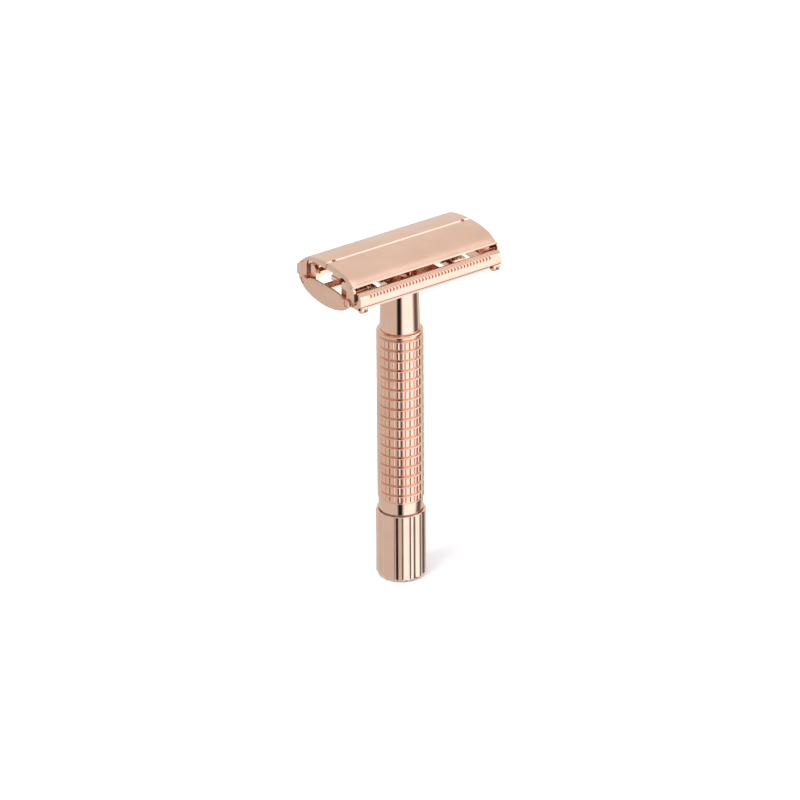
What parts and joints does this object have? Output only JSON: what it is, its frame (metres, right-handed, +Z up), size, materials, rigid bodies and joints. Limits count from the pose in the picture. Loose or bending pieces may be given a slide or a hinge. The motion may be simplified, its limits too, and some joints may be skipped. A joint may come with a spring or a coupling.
{
  "type": "safety razor",
  "caption": "Twist-to-open double-edge safety razor: turning the knob lifts the saddle and swings the two cap doors open over the toothed guard.",
  "frame": {"origin": "centre of the knob's flat base, on the handle's axis", "axes": "+Z up the handle towards the head, +X along the head's length, +Y across the head from the front guard to the rear guard"},
  "size_m": [0.0454, 0.0262, 0.091],
  "materials": {
    "plated_polished": "polished rose-gold plating",
    "plated_satin": "satin rose-gold plating, brushed along the head",
    "plated_knurl": "polished rose-gold plating over a square knurl",
    "plated_inner": "plain rose-gold plating",
    "bare_brass": "machined",
    "spring_steel": "bright"
  },
  "bodies": {
    "handle": {"lower_collar": "plated_polished", "knob_clip": "spring_steel", "spring_washer": "spring_steel", "knurled_grip": "plated_knurl", "neck_tube": "plated_polished", "guide_bush": "bare_brass", "base_plate": "plated_inner", "guard_bar_front": "plated_polished", "guard_bar_rear": "plated_polished", "blade_bed": "plated_inner", "bed_rivets": "plated_inner"},
    "knob": {"knob_shell": "plated_polished", "knob_nut": "bare_brass", "knob_end_cap": "plated_polished"},
    "carriage": {"inner_rod": "spring_steel", "saddle_bar": "plated_inner", "end_plate_left": "plated_satin", "end_plate_right": "plated_satin", "door_pins": "spring_steel"},
    "front_door": {"door_front": "plated_satin"},
    "rear_door": {"door_rear": "plated_satin"}
  },
  "joints": [
    {"name": "knob_turn", "type": "hinge", "parent": "handle", "child": "knob", "pos_m": [0, 0, 0.009], "axis": [0, 0, -1], "range_deg": [0, 450]},
    {"name": "rod_lift", "type": "slide", "parent": "handle", "child": "carriage", "axis": [0, 0, 1], "range_m": [0, 0.004]},
    {"name": "front_door_swing", "type": "hinge", "parent": "carriage", "child": "front_door", "pos_m": [0, -0.00875, 0.0836], "axis": [1, 0, 0], "range_deg": [0, 75]},
    {"name": "rear_door_swing", "type": "hinge", "parent": "carriage", "child": "rear_door", "pos_m": [0, 0.00875, 0.0836], "axis": [-1, 0, 0], "range_deg": [0, 75]}
  ],
  "couplings": [
    {"joint": "knob_turn", "follows": "rod_lift", "rad_per_m": 1963.5},
    {"joint": "front_door_swing", "follows": "rod_lift", "rad_per_m": 327.24},
    {"joint": "rear_door_swing", "follows": "rod_lift", "rad_per_m": 327.24}
  ]
}
